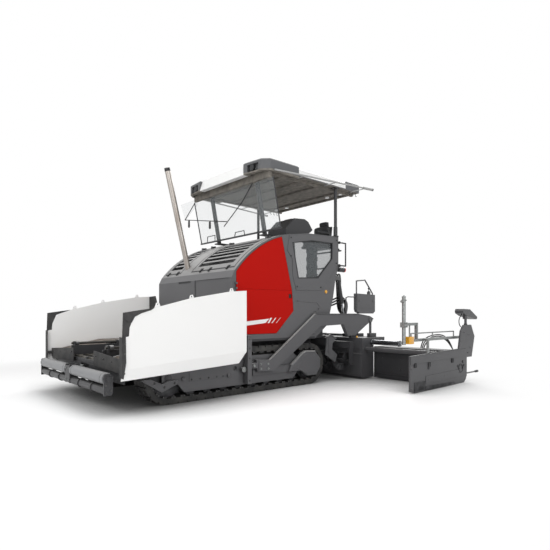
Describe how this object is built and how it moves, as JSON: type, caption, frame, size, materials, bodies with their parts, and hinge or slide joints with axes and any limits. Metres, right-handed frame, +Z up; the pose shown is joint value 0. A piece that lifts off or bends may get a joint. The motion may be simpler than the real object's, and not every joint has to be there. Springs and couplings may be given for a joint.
{
  "type": "tracked asphalt paver",
  "caption": "Tracked asphalt paver with a folding hopper, operator's platform under a canopy, augers and a telescopic screed on tow arms",
  "frame": {"origin": "Middle of the overall length and width, on the ground under the tracks", "axes": "X to the machine's left, Y to the rear, Z up"},
  "size_m": [6.088, 6.8, 3.9668],
  "materials": {
    "grey_paint": "satin",
    "dark_paint": "satin",
    "white_paint": "gloss",
    "red_paint": "gloss",
    "track_rubber": "matt",
    "flap_rubber": "matt",
    "clear_glass": "clear",
    "cast_parts": "rough",
    "stainless": "brushed",
    "seat_cover": "soft",
    "chrome_rod": "polished",
    "zinc_steel": "galvanised",
    "lamp_glass": "clear"
  },
  "bodies": {
    "chassis": {"auger_carrier": "cast_parts", "awnings": "grey_paint", "canopy_posts": "grey_paint", "chassis_frame": "grey_paint", "console": "dark_paint", "conveyor_slats": "cast_parts", "deck": "grey_paint", "drive_covers": "grey_paint", "engine_block": "cast_parts", "exhaust": "stainless", "hood": "grey_paint", "hopper_base": "grey_paint", "platform": "grey_paint", "rear_handrails": "dark_paint", "roof": "white_paint", "roof_frame": "dark_paint", "seats": "seat_cover", "side_panel_left": "grey_paint", "side_panel_right": "grey_paint", "side_windows": "clear_glass", "spill_guards": "grey_paint", "tank": "cast_parts", "tow_rails": "grey_paint", "track_beam_left": "grey_paint", "track_beam_right": "grey_paint", "track_left": "track_rubber", "track_right": "track_rubber", "track_wheels": "cast_parts", "windscreen": "clear_glass", "windscreen_frame": "dark_paint", "work_lamps": "lamp_glass"},
    "wing_left": {"hopper_wing_left": "white_paint", "wing_flap_left": "flap_rubber"},
    "push_roller_left": {"push_roller_left": "grey_paint"},
    "door_left": {"service_door_left": "red_paint"},
    "lid_left": {"hood_lid_left": "grey_paint"},
    "auger_left": {"auger_left": "cast_parts"},
    "extension_left": {"extension_left": "grey_paint", "end_gate_left": "grey_paint", "sensor_mast_left": "zinc_steel", "gate_console_left": "grey_paint"},
    "barrel_left": {"lift_barrel_left": "grey_paint"},
    "piston_left": {"lift_rod_left": "chrome_rod"},
    "wing_right": {"hopper_wing_right": "white_paint", "wing_flap_right": "flap_rubber"},
    "push_roller_right": {"push_roller_right": "grey_paint"},
    "door_right": {"service_door_right": "red_paint"},
    "lid_right": {"hood_lid_right": "grey_paint"},
    "auger_right": {"auger_right": "cast_parts"},
    "extension_right": {"extension_right": "grey_paint", "end_gate_right": "grey_paint", "sensor_mast_right": "zinc_steel", "gate_console_right": "grey_paint"},
    "barrel_right": {"lift_barrel_right": "grey_paint"},
    "piston_right": {"lift_rod_right": "chrome_rod"},
    "push_beam": {"push_beam": "grey_paint"},
    "screed": {"screed": "grey_paint", "tow_arms": "grey_paint", "arm_consoles": "grey_paint", "guide_tubes": "chrome_rod"}
  },
  "joints": [
    {"name": "wing_left_fold", "type": "hinge", "parent": "chassis", "child": "wing_left", "pos_m": [0.7, -2.2, 0.82], "axis": [0, -1, 0], "range_deg": [0, 60]},
    {"name": "door_left_hinge", "type": "hinge", "parent": "chassis", "child": "door_left", "pos_m": [1.218, -1.19, 1.45], "axis": [0, 0, -1], "range_deg": [0, 80]},
    {"name": "lid_left_hinge", "type": "hinge", "parent": "chassis", "child": "lid_left", "pos_m": [0.48, -0.341, 2.652], "axis": [-1, 0, 0], "range_deg": [0, 55]},
    {"name": "auger_left_spin", "type": "hinge", "parent": "chassis", "child": "auger_left", "pos_m": [0.75, 1.4, 0.37], "axis": [1, 0, 0], "continuous": true},
    {"name": "push_roller_left_spin", "type": "hinge", "parent": "push_beam", "child": "push_roller_left", "pos_m": [0.72, -3.325, 0.48], "axis": [1, 0, 0], "continuous": true},
    {"name": "extension_left_slide", "type": "slide", "parent": "screed", "child": "extension_left", "axis": [-1, 0, 0], "range_m": [0, 1.49]},
    {"name": "wing_right_fold", "type": "hinge", "parent": "chassis", "child": "wing_right", "pos_m": [-0.7, -2.2, 0.82], "axis": [0, 1, 0], "range_deg": [0, 60]},
    {"name": "door_right_hinge", "type": "hinge", "parent": "chassis", "child": "door_right", "pos_m": [-1.218, -1.19, 1.45], "axis": [0, 0, 1], "range_deg": [0, 80]},
    {"name": "lid_right_hinge", "type": "hinge", "parent": "chassis", "child": "lid_right", "pos_m": [-0.84, -0.341, 2.652], "axis": [-1, 0, 0], "range_deg": [0, 55]},
    {"name": "auger_right_spin", "type": "hinge", "parent": "chassis", "child": "auger_right", "pos_m": [-0.75, 1.4, 0.37], "axis": [1, 0, 0], "continuous": true},
    {"name": "push_roller_right_spin", "type": "hinge", "parent": "push_beam", "child": "push_roller_right", "pos_m": [-0.72, -3.325, 0.48], "axis": [1, 0, 0], "continuous": true},
    {"name": "extension_right_slide", "type": "slide", "parent": "screed", "child": "extension_right", "axis": [1, 0, 0], "range_m": [0, 1.49]},
    {"name": "push_beam_swivel", "type": "hinge", "parent": "chassis", "child": "push_beam", "pos_m": [0, -3.175, 0.45], "axis": [0, 0, 1], "range_deg": [-3, 3]},
    {"name": "screed_lift", "type": "hinge", "parent": "chassis", "child": "screed", "pos_m": [0, -0.885, 0.45], "axis": [1, 0, 0], "range_deg": [0, 7]},
    {"name": "barrel_left_pivot", "type": "hinge", "parent": "chassis", "child": "barrel_left", "pos_m": [1.13, 1.4, 2], "axis": [1, 0, 0], "range_deg": [-6, 1]},
    {"name": "piston_left_slide", "type": "slide", "parent": "barrel_left", "child": "piston_left", "axis": [0, -0.229, 0.9734], "range_m": [0, 0.34]},
    {"name": "barrel_right_pivot", "type": "hinge", "parent": "chassis", "child": "barrel_right", "pos_m": [-1.13, 1.4, 2], "axis": [1, 0, 0], "range_deg": [-6, 1]},
    {"name": "piston_right_slide", "type": "slide", "parent": "barrel_right", "child": "piston_right", "axis": [0, -0.229, 0.9734], "range_m": [0, 0.34]}
  ],
  "couplings": [
    {"joint": "barrel_left_pivot", "follows": "screed_lift", "ratio": -0.48061},
    {"joint": "piston_left_slide", "follows": "screed_lift", "m_per_rad": 2.5581},
    {"joint": "barrel_right_pivot", "follows": "screed_lift", "ratio": -0.48061},
    {"joint": "piston_right_slide", "follows": "screed_lift", "m_per_rad": 2.5581}
  ]
}
